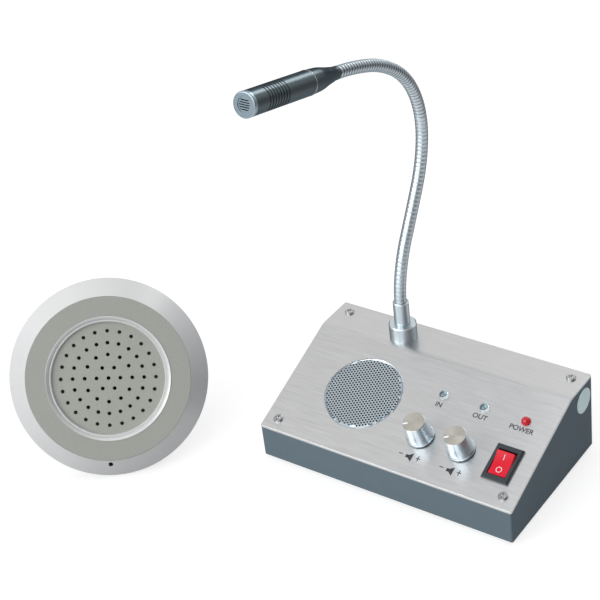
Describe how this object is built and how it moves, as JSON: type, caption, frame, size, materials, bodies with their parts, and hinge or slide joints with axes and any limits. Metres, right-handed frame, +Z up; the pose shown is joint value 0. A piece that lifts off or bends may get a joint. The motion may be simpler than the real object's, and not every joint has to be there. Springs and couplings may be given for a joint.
{
  "type": "teller window intercom",
  "caption": "Wedge-shaped desk console with a gooseneck microphone, speaker, volume knobs and rocker switch, and a round outside speaker unit.",
  "frame": {"origin": "on the counter, at the middle of the box that holds the console and the outside unit", "axes": "+Z up, +X along the console's front from the speaker to the switch, +Y away from the teller"},
  "size_m": [0.2778, 0.1823, 0.249],
  "materials": {
    "case_paint": "satin",
    "panel_steel": "brushed",
    "base_steel": "satin",
    "screw_steel": "satin",
    "foot_rubber": "matte",
    "mesh_steel": "satin",
    "basket_steel": "satin",
    "cone_paper": "matte",
    "magnet_iron": "matte",
    "pot_body": "satin",
    "pot_brass": "satin",
    "knob_aluminium": "polished",
    "switch_black": "gloss",
    "rocker_red": "gloss",
    "terminal_brass": "satin",
    "lamp_clear": "gloss",
    "lamp_red": "gloss",
    "holder_plastic": "matte",
    "neck_chrome": "polished",
    "mic_chrome": "polished",
    "capsule_can": "satin",
    "board_green": "satin",
    "chip_black": "matte",
    "sink_aluminium": "satin",
    "capacitor_sleeve": "gloss",
    "jack_black": "satin",
    "label_paper": "satin",
    "bezel_satin": "satin",
    "face_grey": "matte",
    "trim_polished": "polished",
    "grille_grey": "satin",
    "cover_plastic": "satin",
    "pad_foam": "matte",
    "gland_rubber": "matte"
  },
  "bodies": {
    "console": {"amplifier_chip": "chip_black", "board_standoffs": "pot_brass", "bottom_plate": "base_steel", "capacitors": "capacitor_sleeve", "case_screws": "screw_steel", "case_shell": "case_paint", "circuit_board": "board_green", "heat_sink": "sink_aluminium", "lamp_holders": "holder_plastic", "neck_ferrule": "neck_chrome", "neck_nut": "neck_chrome", "neck_segment_1": "neck_chrome", "neck_socket": "neck_chrome", "outside_unit_jack": "jack_black", "panel_nut_blocks": "base_steel", "panel_screws": "screw_steel", "pot_nuts": "pot_brass", "power_jack": "jack_black", "power_lamp": "lamp_red", "rubber_feet": "foot_rubber", "side_label": "label_paper", "signal_lamps": "lamp_clear", "speaker_clips": "base_steel", "speaker_cone": "cone_paper", "speaker_frame": "basket_steel", "speaker_magnet": "magnet_iron", "speaker_mesh": "mesh_steel", "switch_housing": "switch_black", "switch_terminals": "terminal_brass", "top_panel": "panel_steel", "volume_pots": "pot_body"},
    "left_knob": {"left_knob": "knob_aluminium", "left_pot_shaft": "pot_brass"},
    "right_knob": {"right_knob": "knob_aluminium", "right_pot_shaft": "pot_brass"},
    "rocker": {"rocker": "rocker_red"},
    "microphone": {"mic_tail": "mic_chrome", "mic_barrel": "mic_chrome", "mic_cap": "neck_chrome", "mic_grille": "mesh_steel", "mic_capsule": "capsule_can"},
    "outside_unit": {"outer_bezel": "bezel_satin", "face_ring": "face_grey", "trim_ring": "trim_polished", "grille_plate": "grille_grey", "outer_speaker_frame": "basket_steel", "outer_speaker_cone": "cone_paper", "outer_speaker_magnet": "magnet_iron", "outer_mic_capsule": "capsule_can", "back_cover": "cover_plastic", "back_cover_screws": "screw_steel", "mounting_pad": "pad_foam", "cable_gland": "gland_rubber"},
    "neck_2": {"neck_segment_2": "neck_chrome"},
    "neck_3": {"neck_segment_3": "neck_chrome"},
    "neck_4": {"neck_segment_4": "neck_chrome"},
    "neck_5": {"neck_segment_5": "neck_chrome"},
    "neck_6": {"neck_segment_6": "neck_chrome"},
    "neck_7": {"neck_segment_7": "neck_chrome"},
    "neck_8": {"neck_segment_8": "neck_chrome"}
  },
  "joints": [
    {"name": "left_volume_turn", "type": "hinge", "parent": "console", "child": "left_knob", "pos_m": [0.0736, 0.00046, 0.0354], "axis": [0, -0.3629, 0.9318], "range_deg": [-269, 31]},
    {"name": "right_volume_turn", "type": "hinge", "parent": "console", "child": "right_knob", "pos_m": [0.098, 0.00046, 0.0354], "axis": [0, -0.3629, 0.9318], "range_deg": [-269, 31]},
    {"name": "power_rocker_tip", "type": "hinge", "parent": "console", "child": "rocker", "pos_m": [0.1224, 0.00236, 0.02916], "axis": [1, 0, 0], "range_deg": [-20, 0]},
    {"name": "neck_bend_1", "type": "hinge", "parent": "console", "child": "neck_2", "pos_m": [0.0323, 0.05551, 0.08074], "axis": [1, 0, 0], "range_deg": [-18, 18]},
    {"name": "neck_bend_2", "type": "hinge", "parent": "neck_2", "child": "neck_3", "pos_m": [0.0323, 0.06531, 0.10596], "axis": [0, -0.8526, 0.5225], "range_deg": [-15, 15]},
    {"name": "neck_bend_3", "type": "hinge", "parent": "neck_3", "child": "neck_4", "pos_m": [0.0323, 0.07922, 0.12933], "axis": [1, 0, 0], "range_deg": [-18, 18]},
    {"name": "neck_bend_4", "type": "hinge", "parent": "neck_4", "child": "neck_5", "pos_m": [0.0323, 0.08802, 0.15489], "axis": [0, -0.9903, 0.1392], "range_deg": [-15, 15]},
    {"name": "neck_bend_5", "type": "hinge", "parent": "neck_5", "child": "neck_6", "pos_m": [0.0323, 0.08463, 0.18156], "axis": [1, 0, 0], "range_deg": [-18, 18]},
    {"name": "neck_bend_6", "type": "hinge", "parent": "neck_6", "child": "neck_7", "pos_m": [0.0323, 0.06852, 0.20313], "axis": [0, -0.6293, -0.7771], "range_deg": [-15, 15]},
    {"name": "neck_bend_7", "type": "hinge", "parent": "neck_7", "child": "neck_8", "pos_m": [0.0323, 0.04517, 0.21688], "axis": [1, 0, 0], "range_deg": [-18, 18]},
    {"name": "microphone_tilt", "type": "hinge", "parent": "neck_8", "child": "microphone", "pos_m": [0.0323, 0.01932, 0.22528], "axis": [1, 0, 0], "range_deg": [-18, 18]},
    {"name": "outside_unit_lift", "type": "slide", "parent": "console", "child": "outside_unit", "axis": [0, 0, 1], "range_m": [0, 0.15]}
  ]
}
